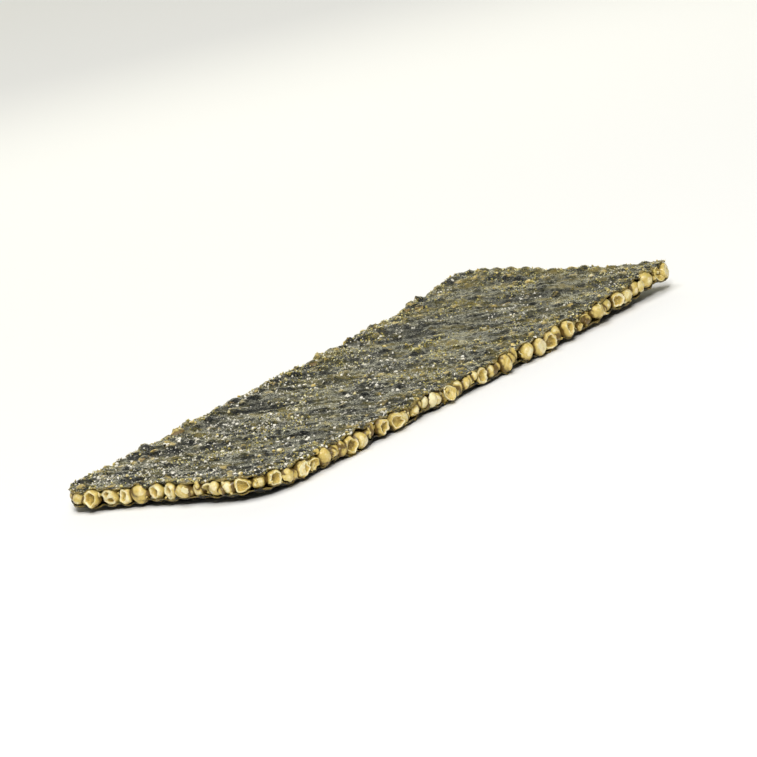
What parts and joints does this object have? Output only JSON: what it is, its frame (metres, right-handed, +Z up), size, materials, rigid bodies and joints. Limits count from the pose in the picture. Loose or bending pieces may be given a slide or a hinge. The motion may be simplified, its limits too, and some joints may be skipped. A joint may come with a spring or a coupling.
{
  "type": "seaweed sandwich snack",
  "caption": "Crisp flat snack of two toasted seaweed sheets with a layer of puffed grains glued between them, gently curled and rippled.",
  "frame": {"origin": "on the table under the middle of the piece's outline", "axes": "+X along the length towards the end that curls up, +Y across the piece towards the edge that arches, +Z up"},
  "size_m": [0.0963, 0.0373, 0.0051],
  "materials": {
    "seaweed": "satin",
    "grain": "matte"
  },
  "bodies": {
    "root": {"top_sheet": "seaweed", "bottom_sheet": "seaweed", "grain_layer": "grain"}
  },
  "joints": []
}
